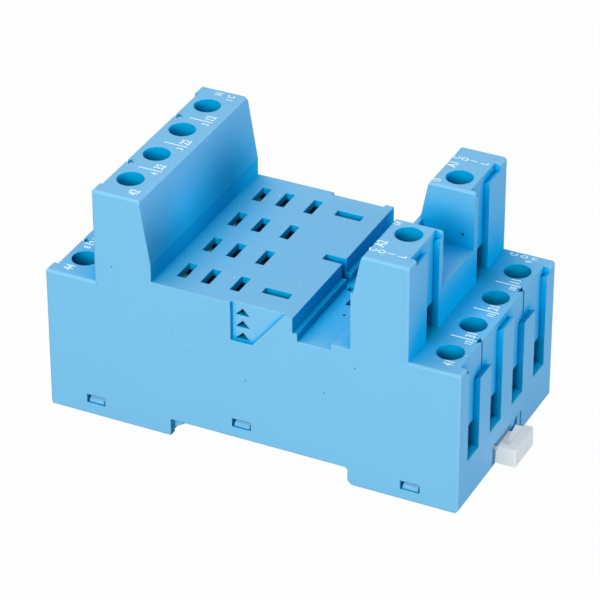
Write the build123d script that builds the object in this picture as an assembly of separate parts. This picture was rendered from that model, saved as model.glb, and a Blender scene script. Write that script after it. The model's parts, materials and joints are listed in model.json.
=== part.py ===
from build123d import *
import math
import os

# A plug-in relay socket with screw terminals, for a 35 mm mounting rail.
# It is drawn from its left end (X = 0), its front face (Y = 0) and the plane
# that its feet stand on (Z = 0), in millimetres. The finished pieces are moved
# so that the origin is at the bottom centre of the whole socket.

# Lengths along the socket, from left to right
NO_STEP_L = 10.2
NC_TOWER_TOP_L = 9.5
NC_TOWER_BASE_L = 11.6
PLATFORM_MARGIN = 3.45
LEDGE_L = 0.95
CHANNEL_L = 6.55
SILL_L = 3.75
COIL_TOWER_TOP_L = 9.05
COIL_TOWER_BASE_L = 11.05
COIL_SHOULDER_L = 0.45
GAP_WALL = 0.9
COM_STEP_L = 10.1

# Widths across the socket
HOUSING_W = 43.0
COIL_TOWER_W = 14.6
PITCH = 10.0
COLUMN_COUNT = 4
COIL_SCREW_OFFSET = 11.0

# Heights above the feet
TOWER_TOP = 48.2
SHOULDER_DROP = 7.9
GAP_WELL_D = 3.8
NC_BEND_TOP = 35.5
PLATFORM_TOP = 32.0
LEDGE_TOP = 29.0
SILL_TOP = 28.7
CHANNEL_TOP = 27.5
STEP_TOP = 29.0

# Rounding and walls of the moulding
CORNER_CUT = 0.35
EDGE_CUT = 0.35
OUTER_WALL = 1.5
PLATFORM_T = 1.4
CHANNEL_T = 1.5
LANE_W = 8.6
CORE_WALL = 1.2

# Rail notch
RAIL_START = 25.1
RAIL_NOTCH_L = 35.7
RAIL_SEAT = 3.5
NOTCH_CUT = 0.5
NOTCH_CHAMFER = 0.8

# Grooves in the end faces that lead the wires to the terminals
RELIEF_D = 1.17
TOWER_RELIEF_D = 0.8
GROOVE_W = 5.0
CORNER_POST_W = 2.8
RELIEF_FALL = 0.5
OUTER_LEDGE_DROP = 1.2
DEEP_LEDGE_DROP = 5.45
GROOVE_RAMP = 0.35
SLIT_OFFSET = 9.4
SLIT_W = 0.45
SLIT_D = 1.4
LEAD_W = 2.0
LEAD_D = 0.8

# Terminals
SCREW_SETBACK = 4.8
NC_SCREW_SETBACK = 4.5
ACCESS_R = 2.55
WIRE_SILL = 9.1
WIRE_WINDOW_H = 5.3
TOWER_CLAMP_LIFT = 0.8
TOWER_WINDOW_H = 5.0

# Rising clamp cages
CAGE_L = 5.0
CAGE_W = 6.0
CAGE_WALL = 0.75
CAGE_BASE = 7.9
CAGE_FLOOR_T = 0.9
CAGE_MOUTH_H = 6.5
CAGE_TOP_T = 2.2
CAGE_CORNER = 0.5
CAGE_PLAY = 0.15
CLAMP_TRAVEL = 4.2

# Terminal screws
SCREW_R = 1.70
THREAD_PLAY = 0.05
SCREW_HEAD_R = 2.45
SCREW_HEAD_H = 1.9
SHANK_FLAT_COUNT = 12
SCREW_SLOT_W = 0.8
SCREW_SLOT_D = 0.9
HEAD_GAP = 0.1
TIP_GAP = 0.03

# Contact strips
STRIP_T = 0.6
STRIP_W = 4.0
STRIP_LEVEL = 14.3
STRIP_PLAY = 0.2
STRIP_FOLD = 0.8
TAB_W = 2.4
TAB_L = 15.0
BLADE_L = 5.0
BLADE_SLOT_W = 1.8
LEAF_GAP = 0.5
LEAF_SPREAD = 2.4
LEAF_MOUTH = 2.2
LEAF_PINCH_DROP = 3.4
LEAF_TOP_DROP = 0.6
NC_LEAF_FLOOR = 18.6
COIL_BUS_LEVEL = 20.3

# Where the relay's blades go in, from the left end of the platform
NC_SLOT_SETBACK = 4.0
NO_SLOT_SETBACK = 8.8
COM_SLOT_SETBACK = 14.65
COIL_SLOT_SETBACK = 22.0
COIL_SLOT_L = 5.3
COIL_SLOT_W = 1.9

# Cut-outs in the platform and in its front and back edges
KEYWAY_W = 1.9
KEYWAY_L = 4.0
KEYWAY_D = 1.6
SIDE_POCKET_START = 15.85
SIDE_POCKET_L = 4.25
SIDE_POCKET_H = 7.8
SIDE_POCKET_SLANT = 6.3
SIDE_POCKET_D = 0.8
ARROW_COUNT = 3
ARROW_W = 2.85
ARROW_H = 1.42
ARROW_D = 2.0
ARROW_PITCH = 2.5
ARROW_INSET = 2.1
ARROW_DROP = 1.19
FLOOR_HOLE_INSET = 0.6
FLOOR_HOLE_L = 2.55
FLOOR_HOLE_W = 1.3
FLOOR_HOLE_OFFSET = 1.45
FLOOR_SLOT_INSET = 2.45
FLOOR_SLOT_L = 2.2
FLOOR_SLOT_W = 2.45
FLOOR_SLOT_OFFSET = 5.425

# Base cover, which closes the housing from below and snaps into its side walls
COVER_T = 1.6
COVER_PLAY = 0.15
FOOT_RECESS = 0.5
SNAP_W = 3.0
SNAP_WINDOW_W = 3.8
SNAP_WINDOW_H = 1.8
SNAP_NIB_H = 1.2
SNAP_TAB_T = 1.0
SNAP_NIB_INSET = 0.3
SNAP_TAB_H = 2.6
SNAP_PLAY = 0.25
SNAP_SETBACKS = [9.6, 39.6, 73.05]
SNAP_SILLS = [0.15, 0.5, -0.1]
HOOK_REACH = 1.9
HOOK_T = 1.5
RAIL_FLANGE_GAP = 1.1
POST_T = 1.2
POST_W = 3.0
POST_PLAY = 0.05
RIB_T = 1.1

# Rail clip
CLIP_T = 2.0
CLIP_BASE = 1.15
CLIP_Y = 17.2
CLIP_W = 6.7
CLIP_HEAD_Y = 16.1
CLIP_HEAD_W = 8.45
CLIP_HEAD_L = 1.75
CLIP_HEAD_H = 3.75
CLIP_REACH = 4.3
CLIP_CHEEK_W = 1.3
CLIP_CHEEK_START = 0.45
CLIP_CHEEK_SLANT = 0.5
CLIP_CHEEK_LOW = 1.4
CLIP_RAMP_START = 1.0
CLIP_RAMP_LOW = 2.0
CLIP_RAMP_FLAT = 0.3
CLIP_NOSE = 1.3
CLIP_PLAY = 0.15
CLIP_TRAVEL = 2.5
CLIP_ARM_T = 1.1
TUNNEL_W = 16.5
TUNNEL_L = 14.5
LIP_W = 0.9
LIP_T = 0.5
CLIP_DOOR_Y = 16.05
CLIP_DOOR_W = 12.95
CLIP_DOOR_TOP = 4.7
CLIP_DOOR_STEP = 0.95
CLIP_DOOR_WIDE = 4.2
CLIP_DOOR_NARROW = 3.0

# Places worked out from the sizes above
NC_FACE = NO_STEP_L
PLATFORM_L = COIL_SLOT_SETBACK + COIL_SLOT_L / 2 + PLATFORM_MARGIN
NC_TOP_END = NC_FACE + NC_TOWER_TOP_L
PLATFORM_START = NC_FACE + NC_TOWER_BASE_L
PLATFORM_END = PLATFORM_START + PLATFORM_L
LEDGE_END = PLATFORM_END + LEDGE_L
SILL_START = LEDGE_END + CHANNEL_L
COIL_BASE_START = SILL_START + SILL_L
COIL_FACE = COIL_BASE_START + COIL_TOWER_BASE_L
COIL_TOP_START = COIL_FACE - COIL_TOWER_TOP_L
HOUSING_L = COIL_FACE + COM_STEP_L
RAIL_END = RAIL_START + RAIL_NOTCH_L
MID_Y = HOUSING_W / 2
CHAMBER_L = CAGE_L + 2 * CAGE_PLAY
CHAMBER_W = CAGE_W + 2 * CAGE_PLAY
CAGE_H = CAGE_FLOOR_T + CAGE_MOUTH_H + CAGE_TOP_T
CHAMBER_TOP = CAGE_BASE + CAGE_H + CLAMP_TRAVEL + CAGE_PLAY
STRIP_TOP = STRIP_LEVEL + STRIP_T
TOWER_RISE = TOWER_TOP - STEP_TOP + TOWER_CLAMP_LIFT
SHOULDER_TOP = TOWER_TOP - SHOULDER_DROP
GAP_FLOOR = SHOULDER_TOP - GAP_WELL_D
PLATFORM_ROOF = PLATFORM_TOP - PLATFORM_T
CHANNEL_ROOF = CHANNEL_TOP - CHANNEL_T
COVER_TOP = FOOT_RECESS + COVER_T
SEAT_TOP = RAIL_SEAT + COVER_T
COLUMNS = [MID_Y + (i - (COLUMN_COUNT - 1) / 2) * PITCH for i in range(COLUMN_COUNT)]
COIL_ROWS = [MID_Y - COIL_SCREW_OFFSET, MID_Y + COIL_SCREW_OFFSET]
PARTITIONS = [MID_Y + (i - COLUMN_COUNT / 2) * PITCH for i in range(1, COLUMN_COUNT)]
LEAF_TOP = PLATFORM_ROOF - LEAF_TOP_DROP
LEAF_PINCH = PLATFORM_ROOF - LEAF_PINCH_DROP
SHIFT = Pos(-(HOUSING_L + CLIP_REACH) / 2, -MID_Y, 0)


def block(x0, x1, y0, y1, z0, z1):
    """A box given by its limits along X, Y and Z."""
    return Pos((x0 + x1) / 2, (y0 + y1) / 2, (z0 + z1) / 2) * Box(abs(x1 - x0), abs(y1 - y0), abs(z1 - z0))


def prism_y(points, y0, y1):
    """A closed outline in X and Z, carried along Y."""
    face = make_face(Polyline(*points, close=True))
    return Pos(0, y0, 0) * extrude(Plane.XZ * face, amount=-(y1 - y0))


def prism_z(points, z0, z1):
    """A closed outline in X and Y, carried upwards."""
    return Pos(0, 0, z0) * extrude(make_face(Polyline(*points, close=True)), amount=z1 - z0)


def prism_x(points, x0, x1):
    """A closed outline in Y and Z, carried along X."""
    face = make_face(Polyline(*points, close=True))
    return Pos(x0, 0, 0) * extrude(Plane.YZ * face, amount=x1 - x0)


def mirrored(shape):
    """The same shape on the other side of the socket's middle."""
    return mirror(shape, about=Plane.XZ.offset(-MID_Y))


def toward(start, end, distance):
    """The point at a distance from start on the way to end."""
    share = distance / math.dist(start, end)
    return tuple(a + (b - a) * share for a, b in zip(start, end))


def folded(points):
    """A line whose sharp turns are each made in two folds, as a pressed bend is."""
    line = [points[0]]
    for before, corner, after in zip(points, points[1:], points[2:]):
        turn = math.atan2(after[1] - corner[1], after[0] - corner[0]) - math.atan2(
            corner[1] - before[1], corner[0] - before[0])
        if math.cos(turn) > 0.5:
            line.append(corner)
        else:
            line += [toward(corner, before, STRIP_FOLD), toward(corner, after, STRIP_FOLD)]
    return line + [points[-1]]


def sheet(points, width, y):
    """A strip of sheet metal bent along a line in X and Z, centred on y."""
    bent = trace(Polyline(*folded(points)), line_width=STRIP_T)
    return Pos(0, y - width / 2, 0) * extrude(Plane.XZ * bent, amount=-width)


class Terminal:
    """Where one screw terminal is: its screw axis, its outer face and its heights."""

    def __init__(self, name, x, y, outward, face, in_tower):
        self.name = name
        self.x = x
        self.y = y
        self.outward = outward
        self.face = face
        self.relief = TOWER_RELIEF_D if name.startswith("nc") else RELIEF_D
        self.rise = TOWER_RISE if in_tower else 0.0
        self.top = TOWER_TOP if in_tower else STEP_TOP
        self.sill = STEP_TOP if in_tower else WIRE_SILL
        self.ramp = 0.0 if in_tower else GROOVE_RAMP
        self.window_h = TOWER_WINDOW_H if in_tower else WIRE_WINDOW_H


def all_terminals():
    """Every screw terminal, in the order of its rows."""
    found = []
    for i, y in enumerate(COLUMNS, start=1):
        found.append(Terminal(f"no_{i}", SCREW_SETBACK, y, -1, 0.0, False))
    for i, y in enumerate(COLUMNS, start=1):
        found.append(Terminal(f"nc_{i}", NC_FACE + NC_SCREW_SETBACK, y, -1, NC_FACE, True))
    for i, y in enumerate(COLUMNS, start=1):
        found.append(Terminal(f"com_{i}", HOUSING_L - SCREW_SETBACK, y, 1, HOUSING_L, False))
    for i, y in enumerate(COIL_ROWS, start=1):
        found.append(Terminal(f"coil_{i}", COIL_FACE - SCREW_SETBACK, y, 1, COIL_FACE, True))
    return found


def near_any(vertex, places):
    """Whether a corner of an outline is at one of the places."""
    return any(math.dist((vertex.X, vertex.Y), place) < 0.01 for place in places)


def housing_outline():
    """The side view of the moulding: two steps, two leaning towers and the bay between them."""
    face = make_face(Polyline(
        (0, 0), (RAIL_START, 0), (RAIL_START, RAIL_SEAT), (RAIL_END, RAIL_SEAT),
        (RAIL_END, NOTCH_CHAMFER), (RAIL_END + NOTCH_CHAMFER, 0), (HOUSING_L, 0),
        (HOUSING_L, STEP_TOP), (COIL_FACE, STEP_TOP), (COIL_FACE, TOWER_TOP), (COIL_TOP_START, TOWER_TOP),
        (COIL_BASE_START + COIL_SHOULDER_L, SHOULDER_TOP), (COIL_BASE_START, SHOULDER_TOP),
        (COIL_BASE_START, SILL_TOP), (SILL_START, SILL_TOP), (SILL_START, CHANNEL_TOP),
        (LEDGE_END, CHANNEL_TOP), (LEDGE_END, LEDGE_TOP), (PLATFORM_END, LEDGE_TOP),
        (PLATFORM_END, PLATFORM_TOP), (PLATFORM_START, PLATFORM_TOP), (PLATFORM_START, NC_BEND_TOP),
        (NC_TOP_END, TOWER_TOP), (NC_FACE, TOWER_TOP), (NC_FACE, STEP_TOP), (0, STEP_TOP), close=True,
    ))
    trimmed = [(NC_TOP_END, TOWER_TOP), (NC_FACE, TOWER_TOP), (0, STEP_TOP), (0, 0), (HOUSING_L, 0),
               (HOUSING_L, STEP_TOP), (COIL_FACE, TOWER_TOP), (COIL_TOP_START, TOWER_TOP)]
    face = chamfer([v for v in face.vertices() if near_any(v, trimmed)], CORNER_CUT)
    roof = [(RAIL_END, RAIL_SEAT)]
    return chamfer([v for v in face.vertices() if near_any(v, roof)], NOTCH_CUT)


def housing_body():
    """The outside of the moulding: the side view given its width, with the gap between the coil towers."""
    body = extrude(Plane.XZ * housing_outline(), amount=-HOUSING_W)
    sides = body.faces().sort_by(Axis.Y)
    rims = [e for e in [*sides[0].edges(), *sides[-1].edges()]
            if e.center().Z > CORNER_CUT and not (
                NC_TOP_END - 0.01 < e.center().X < COIL_TOP_START + 0.01 or RAIL_START < e.center().X < RAIL_END)]
    body = chamfer(rims, EDGE_CUT)
    near, far = COIL_TOWER_W, HOUSING_W - COIL_TOWER_W
    body = body - [
        block(COIL_BASE_START - 1, COIL_FACE + 1, near, far, SHOULDER_TOP, TOWER_TOP + 1),
        block(COIL_BASE_START + GAP_WALL, COIL_FACE + 1, near, far, GAP_FLOOR, SHOULDER_TOP + 1),
    ]
    inner = [e for e in body.edges()
             if abs(abs(e.center().Y - MID_Y) - (MID_Y - COIL_TOWER_W)) < 0.01
             and e.center().Z > TOWER_TOP - 0.01]
    return chamfer(inner, EDGE_CUT)


def wire_groove(t):
    """The groove in an end face that leads one wire to its window, with a ramp at a low one's foot."""
    inner = t.face - t.outward * t.relief
    outer = t.face + t.outward
    foot = t.sill - t.ramp
    points = [(outer, foot), (t.face, foot), (inner, t.sill), (inner, t.top + 1), (outer, t.top + 1)]
    if t.ramp == 0:
        points.remove((t.face, foot))
    return prism_y(points, t.y - GROOVE_W / 2, t.y + GROOVE_W / 2)


def ledge_cut(face, outward, depth, top, drop, y0, y1):
    """The material taken off the top of a rib between two grooves, which leaves a sloping ledge."""
    inner = face - outward * depth
    outer = face + outward
    level = top - drop
    points = [(outer, level), (face, level), (inner, level - RELIEF_FALL), (inner, top + 1), (outer, top + 1)]
    return prism_y(points, y0, y1)


def row_relief(face, outward, depth, top):
    """What is cut from an end face with four terminals, apart from the grooves."""
    cuts = []
    half = GROOVE_W / 2
    cuts.append(ledge_cut(face, outward, depth, top, OUTER_LEDGE_DROP, CORNER_POST_W, COLUMNS[0]))
    cuts.append(ledge_cut(face, outward, depth, top, OUTER_LEDGE_DROP, COLUMNS[-1],
                          HOUSING_W - CORNER_POST_W))
    for i, y in enumerate(PARTITIONS):
        middle = i == (len(PARTITIONS) - 1) / 2
        drop = OUTER_LEDGE_DROP if middle else DEEP_LEDGE_DROP
        cuts.append(ledge_cut(face, outward, depth, top, drop, y - half - 1, y + half + 1))
    inner = face - outward * depth
    for y in (MID_Y - SLIT_OFFSET, MID_Y + SLIT_OFFSET):
        deep = inner - outward * SLIT_D
        cuts.append(block(inner, deep, y - SLIT_W / 2, y + SLIT_W / 2, top - DEEP_LEDGE_DROP, top + 1))
        lead = [(inner, y - SLIT_W / 2), (inner - outward * LEAD_D, y - LEAD_W / 2),
                (inner - outward * LEAD_D, y + LEAD_W / 2)]
        cuts.append(prism_z(lead, top - LEAD_D, top + 1))
    return cuts


def coil_relief():
    """What is cut from the outer face of the two coil towers, apart from the grooves."""
    first, half = COIL_ROWS[0], GROOVE_W / 2
    near = ledge_cut(COIL_FACE, 1, RELIEF_D, TOWER_TOP, OUTER_LEDGE_DROP, CORNER_POST_W + 0.4, first)
    far = ledge_cut(COIL_FACE, 1, RELIEF_D, TOWER_TOP, OUTER_LEDGE_DROP, first, first + half + 0.8)
    return [near, far, mirrored(near), mirrored(far)]


def terminal_cavity(t):
    """The chamber of one clamp, open from below, with its wire window and its screw hole."""
    roof = CHAMBER_TOP + t.rise
    chamber = block(t.x - CHAMBER_L / 2, t.x + CHAMBER_L / 2, t.y - CHAMBER_W / 2, t.y + CHAMBER_W / 2,
                    0, roof)
    access = Pos(t.x, t.y, (roof + t.top) / 2) * Cylinder(ACCESS_R, t.top - roof + 1)
    window = block(t.x, t.face, t.y - GROOVE_W / 2, t.y + GROOVE_W / 2, t.sill, t.sill + t.window_h)
    return [chamber, access, window]


def strip_slot(x0, x1, y, top):
    """The slot in a wall that a contact strip is pushed up into from below."""
    half = STRIP_W / 2 + STRIP_PLAY
    return block(x0, x1, y - half, y + half, 0, top + STRIP_PLAY)


def lane_cavities(y):
    """The hollow under one column of contacts, from the left chambers to the right ones."""
    no_end = SCREW_SETBACK + CHAMBER_L / 2
    nc_x = NC_FACE + NC_SCREW_SETBACK
    nc_start = nc_x - CHAMBER_L / 2
    nc_end = nc_x + CHAMBER_L / 2
    lane_start = PLATFORM_START - CORE_WALL - 1
    lane_mid = PLATFORM_END - CORE_WALL
    coil_end = COIL_FACE - RELIEF_D
    com_start = HOUSING_L - SCREW_SETBACK - CHAMBER_L / 2
    half = LANE_W / 2
    cuts = [
        block(lane_start, lane_mid, y - half, y + half, 0, PLATFORM_ROOF),
        block(lane_mid - 1, coil_end, y - half, y + half, 0, CHANNEL_ROOF),
        strip_slot(no_end - 1, nc_start + 1, y, STRIP_TOP),
        strip_slot(coil_end - 1, com_start + 1, y, STRIP_TOP),
        strip_slot(nc_end - 1, lane_start + 0.2, y, max(STRIP_TOP + TOWER_RISE, PLATFORM_ROOF)),
    ]
    return cuts


def coil_cavities():
    """The hollows that only the coil contacts need, on the front half of the socket."""
    y = COIL_ROWS[0]
    shaft = COIL_FACE - SCREW_SETBACK - CHAMBER_L / 2
    half = STRIP_W / 2 + STRIP_PLAY
    riser = block(shaft - 2.0, shaft + 1, y - half, y + half, 0, STRIP_TOP + TOWER_RISE + STRIP_PLAY)
    jog = block(PLATFORM_END, shaft, y - half - 1, y + half + 0.4, 0, COIL_BUS_LEVEL + 2)
    return [riser, jog, mirrored(riser), mirrored(jog)]


def blade_slots():
    """The slots that the relay's blades go through."""
    cuts = []
    top, roof = PLATFORM_TOP + 1, PLATFORM_ROOF - 0.5
    for setback in (NC_SLOT_SETBACK, NO_SLOT_SETBACK, COM_SLOT_SETBACK):
        left = PLATFORM_START + setback - BLADE_SLOT_W / 2
        for y in COLUMNS:
            cuts.append(block(left, left + BLADE_SLOT_W, y - BLADE_L / 2, y + BLADE_L / 2, roof, top))
    left = PLATFORM_START + COIL_SLOT_SETBACK - COIL_SLOT_L / 2
    for y in (COLUMNS[0], COLUMNS[-1]):
        cuts.append(block(left, left + COIL_SLOT_L, y - COIL_SLOT_W / 2, y + COIL_SLOT_W / 2, roof, top))
    return cuts


def side_pocket():
    """The shallow pocket in the front face below the platform, with its arrow-shaped holes."""
    x = PLATFORM_START + SIDE_POCKET_START
    floor = PLATFORM_TOP - SIDE_POCKET_H
    end = x + SIDE_POCKET_L
    points = [(x, PLATFORM_TOP + 1), (x, floor), (end, floor),
              (end + SIDE_POCKET_SLANT, PLATFORM_TOP), (end + SIDE_POCKET_SLANT, PLATFORM_TOP + 1)]
    cuts = [prism_y(points, -1, SIDE_POCKET_D)]
    for i in range(ARROW_COUNT):
        tip = PLATFORM_TOP - ARROW_DROP - i * ARROW_PITCH
        mid = x + ARROW_INSET
        arrow = prism_y([(mid, tip), (mid - ARROW_W / 2, tip - ARROW_H), (mid + ARROW_W / 2, tip - ARROW_H)],
                        0, SIDE_POCKET_D + ARROW_D)
        cuts.append(arrow)
    return cuts


def bay_details():
    """The keyway in the platform, and the small holes in the floor of the channel beside it."""
    half = KEYWAY_W / 2
    wall = PLATFORM_END - CORE_WALL
    keyway = block(PLATFORM_END - KEYWAY_L, PLATFORM_END, MID_Y - half, MID_Y + half,
                   PLATFORM_TOP - KEYWAY_D, PLATFORM_TOP + 1)
    drop = block(wall + 0.1, LEDGE_END, MID_Y - half, MID_Y + half, CHANNEL_TOP, PLATFORM_TOP + 1)
    hole_x = LEDGE_END + FLOOR_HOLE_INSET
    hole_y = MID_Y - FLOOR_HOLE_OFFSET
    hole = block(hole_x, hole_x + FLOOR_HOLE_L, hole_y - FLOOR_HOLE_W / 2, hole_y + FLOOR_HOLE_W / 2,
                 CHANNEL_ROOF - 1, CHANNEL_TOP + 1)
    slot_x = LEDGE_END + FLOOR_SLOT_INSET
    slot_y = MID_Y - FLOOR_SLOT_OFFSET
    slot = block(slot_x, slot_x + FLOOR_SLOT_L, slot_y - FLOOR_SLOT_W / 2, slot_y + FLOOR_SLOT_W / 2,
                 CHANNEL_ROOF - 1, CHANNEL_TOP + 1)
    return [keyway, drop, hole, slot, mirrored(slot)]


def tunnel_limits():
    """The start, end, near side and far side of the raised part of the cover over the rail clip."""
    start = RAIL_END
    near = CLIP_Y + CLIP_W / 2 - TUNNEL_W / 2
    return start, start + TUNNEL_L, near, near + TUNNEL_W


def cover_recess():
    """The room at the bottom of the housing that the base cover fills."""
    near, far = OUTER_WALL, HOUSING_W - OUTER_WALL
    web = COVER_T + COVER_PLAY
    low, high = COVER_TOP + 0.1, SEAT_TOP + 0.1
    cuts = [
        block(OUTER_WALL, RAIL_START + 0.01, near, far, -1, low),
        block(RAIL_START - web, RAIL_END + web, near, far, -1, high),
        block(RAIL_END, HOUSING_L - OUTER_WALL, near, far, -1, low),
    ]
    start, end, y0, y1 = tunnel_limits()
    cuts.append(block(start, end + web, y0 - web, y1 + web, -1, high))
    cuts.append(block(end, HOUSING_L - OUTER_WALL, CLIP_DOOR_Y - web, CLIP_DOOR_Y + CLIP_DOOR_W + web, -1, high))
    narrow = CLIP_DOOR_Y + CLIP_DOOR_STEP
    far = CLIP_DOOR_Y + CLIP_DOOR_W
    door = [(narrow, -1), (narrow, CLIP_DOOR_NARROW), (CLIP_DOOR_Y, CLIP_DOOR_WIDE),
            (CLIP_DOOR_Y, CLIP_DOOR_TOP), (far, CLIP_DOOR_TOP), (far, -1)]
    cuts.append(prism_x(door, HOUSING_L - OUTER_WALL - 0.1, HOUSING_L + 1))
    return cuts


def snap_windows():
    """The windows in the front and back walls that the cover's snap nibs look out of, and their pockets."""
    cuts = []
    for x, rise in zip(SNAP_SETBACKS, SNAP_SILLS):
        top = SEAT_TOP if RAIL_START < x < RAIL_END else COVER_TOP
        sill = top + rise
        window = block(x - SNAP_WINDOW_W / 2, x + SNAP_WINDOW_W / 2, -1, OUTER_WALL + 0.1,
                       sill, sill + SNAP_WINDOW_H)
        pocket = block(x - SNAP_WINDOW_W / 2, x + SNAP_WINDOW_W / 2, OUTER_WALL,
                       OUTER_WALL + SNAP_TAB_T + 2 * SNAP_PLAY, 0, top + SNAP_TAB_H + SNAP_PLAY)
        cuts += [window, pocket, mirrored(window), mirrored(pocket)]
    return cuts


def make_housing(terminals):
    """The blue moulding that holds everything."""
    body = housing_body()
    cuts = []
    for t in terminals:
        cuts.append(wire_groove(t))
        cuts += terminal_cavity(t)
    cuts += row_relief(0.0, -1, RELIEF_D, STEP_TOP)
    cuts += row_relief(NC_FACE, -1, TOWER_RELIEF_D, TOWER_TOP)
    cuts += row_relief(HOUSING_L, 1, RELIEF_D, STEP_TOP)
    cuts += coil_relief()
    for y in COLUMNS:
        cuts += lane_cavities(y)
    cuts += coil_cavities()
    cuts += blade_slots()
    pocket = side_pocket()
    cuts += pocket
    cuts += [mirrored(p) for p in pocket]
    cuts += bay_details()
    cuts += cover_recess()
    cuts += snap_windows()
    return body - cuts


def make_cage(t):
    """A box clamp: a folded steel tube with a tapped hole in its thick top."""
    base = CAGE_BASE + t.rise
    half = CAGE_W / 2
    outer = block(t.x - CAGE_L / 2, t.x + CAGE_L / 2, t.y - half, t.y + half, base, base + CAGE_H)
    outer = chamfer(outer.edges().filter_by(Axis.X), CAGE_CORNER)
    floor = base + CAGE_FLOOR_T
    mouth_half = half - CAGE_WALL
    mouth = block(t.x - CAGE_L, t.x + CAGE_L, t.y - mouth_half, t.y + mouth_half, floor, floor + CAGE_MOUTH_H)
    bore = Pos(t.x, t.y, base + CAGE_H) * Cylinder(SCREW_R + THREAD_PLAY, 2 * CAGE_TOP_T + 1)
    return outer - [mouth, bore]


def make_screw(t):
    """A clamp screw with a slotted head, on the contact strip. Its threaded shank is drawn with flats."""
    tip = STRIP_TOP + TIP_GAP + t.rise
    under = CHAMBER_TOP + HEAD_GAP + t.rise
    top = under + SCREW_HEAD_H
    shank = Pos(t.x, t.y, tip) * extrude(RegularPolygon(SCREW_R, SHANK_FLAT_COUNT), amount=under + 0.1 - tip)
    head = Pos(t.x, t.y, under + SCREW_HEAD_H / 2) * Cylinder(SCREW_HEAD_R, SCREW_HEAD_H)
    slot = Pos(t.x, t.y, top) * Box(2 * SCREW_HEAD_R + 1, SCREW_SLOT_W, 2 * SCREW_SLOT_D)
    return shank + head - slot


def leaf_line(x, side, base):
    """The centre line of one contact leaf, from its foot up to its flared mouth."""
    return [(x + side * LEAF_SPREAD / 2, base),
            (x + side * (LEAF_GAP + STRIP_T) / 2, LEAF_PINCH),
            (x + side * LEAF_MOUTH / 2, LEAF_TOP)]


def long_strip(t, slot_x):
    """A contact strip of the low rows: a straight bus, its end turned up, and a tab lanced out of it."""
    ahead = -t.outward
    level = STRIP_LEVEL + STRIP_T / 2
    tip = t.x - ahead * (CHAMBER_L / 2 - STRIP_PLAY)
    bus = sheet([(tip, level), *leaf_line(slot_x, ahead, level)], STRIP_W, t.y)
    near = leaf_line(slot_x, -ahead, level)
    foot = (near[0][0] - ahead * 2, level)
    tab = sheet([foot, *near], TAB_W, t.y)
    hinge = near[0][0] - ahead * STRIP_FOLD
    window = block(hinge - ahead * TAB_L, hinge - ahead * 0.6, t.y - TAB_W / 2, t.y + TAB_W / 2,
                   STRIP_LEVEL - 1, STRIP_TOP + 1)
    return bus - window + tab


def nc_strip(t, slot_x):
    """A contact strip of the upper row: down from the tower, along under the platform and round a fork."""
    level = STRIP_LEVEL + STRIP_T / 2 + t.rise
    run = PLATFORM_ROOF - STRIP_T / 2 - 0.1
    drop_x = t.x + CHAMBER_L / 2 + 1.5
    near = leaf_line(slot_x, -1, NC_LEAF_FLOOR)
    far = leaf_line(slot_x, 1, NC_LEAF_FLOOR)
    corner = (near[2][0] - 0.1, run)
    return sheet([(t.x - CHAMBER_L / 2 + STRIP_PLAY, level), (drop_x, level), (drop_x, run), corner,
                  near[1], near[0], far[0], far[1], far[2]], STRIP_W, t.y)


def coil_strip(t, slot_x, slot_y):
    """A coil contact: down the tower, along with a jog, and a fork folded up from its two sides."""
    upper = STRIP_LEVEL + STRIP_T / 2 + t.rise
    level = COIL_BUS_LEVEL + STRIP_T / 2
    drop_x = t.x - CHAMBER_L / 2 - 1.0
    jog_end = drop_x - 4.0
    riser = sheet([(t.x + CHAMBER_L / 2 - STRIP_PLAY, upper), (drop_x, upper), (drop_x, level), (jog_end, level)],
                  STRIP_W, t.y)
    half = STRIP_W / 2
    fork_end = slot_x + COIL_SLOT_L / 2
    fork_half = LEAF_SPREAD / 2
    plan = [(jog_end + 0.5, t.y - half), (jog_end + 0.5, t.y + half), (jog_end - 1, t.y + half),
            (fork_end + 1.5, slot_y + fork_half), (fork_end - 1, slot_y + fork_half),
            (fork_end - 1, slot_y - fork_half), (fork_end + 1.5, slot_y - fork_half),
            (jog_end - 1, t.y - half)]
    bus = prism_z(plan, COIL_BUS_LEVEL, COIL_BUS_LEVEL + STRIP_T)
    side = [(slot_y + p, z) for p, z in leaf_line(0, 1, level)]
    other = [(slot_y + p, z) for p, z in leaf_line(0, -1, level)]
    line = Polyline(*folded([*reversed(other), *side]))
    fork = extrude(Plane.YZ * trace(line, line_width=STRIP_T), amount=STRIP_W)
    return riser + bus + Pos(slot_x - STRIP_W / 2, 0, 0) * fork


def make_strip(t):
    """The contact strip that belongs to one terminal."""
    if t.name.startswith("no"):
        return long_strip(t, PLATFORM_START + NO_SLOT_SETBACK)
    if t.name.startswith("com"):
        return long_strip(t, PLATFORM_START + COM_SLOT_SETBACK)
    if t.name.startswith("nc"):
        return nc_strip(t, PLATFORM_START + NC_SLOT_SETBACK)
    slot_y = COLUMNS[0] if t.y < MID_Y else COLUMNS[-1]
    return coil_strip(t, PLATFORM_START + COIL_SLOT_SETBACK, slot_y)


def snap_tab(x, rise):
    """A springy tab of the cover, with a nib that catches in its window."""
    top = SEAT_TOP if RAIL_START < x < RAIL_END else COVER_TOP
    inner = OUTER_WALL + SNAP_PLAY / 2
    sill = top + rise
    points = [(inner, top - COVER_T), (inner, sill + 0.1), (SNAP_NIB_INSET, sill + 0.1),
              (SNAP_NIB_INSET, sill + 0.1 + SNAP_NIB_H / 2), (inner, sill + 0.1 + SNAP_NIB_H),
              (inner, top + SNAP_TAB_H), (inner + SNAP_TAB_T, top + SNAP_TAB_H),
              (inner + SNAP_TAB_T, top - COVER_T)]
    return prism_x(points, x - SNAP_W / 2, x + SNAP_W / 2)


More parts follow.
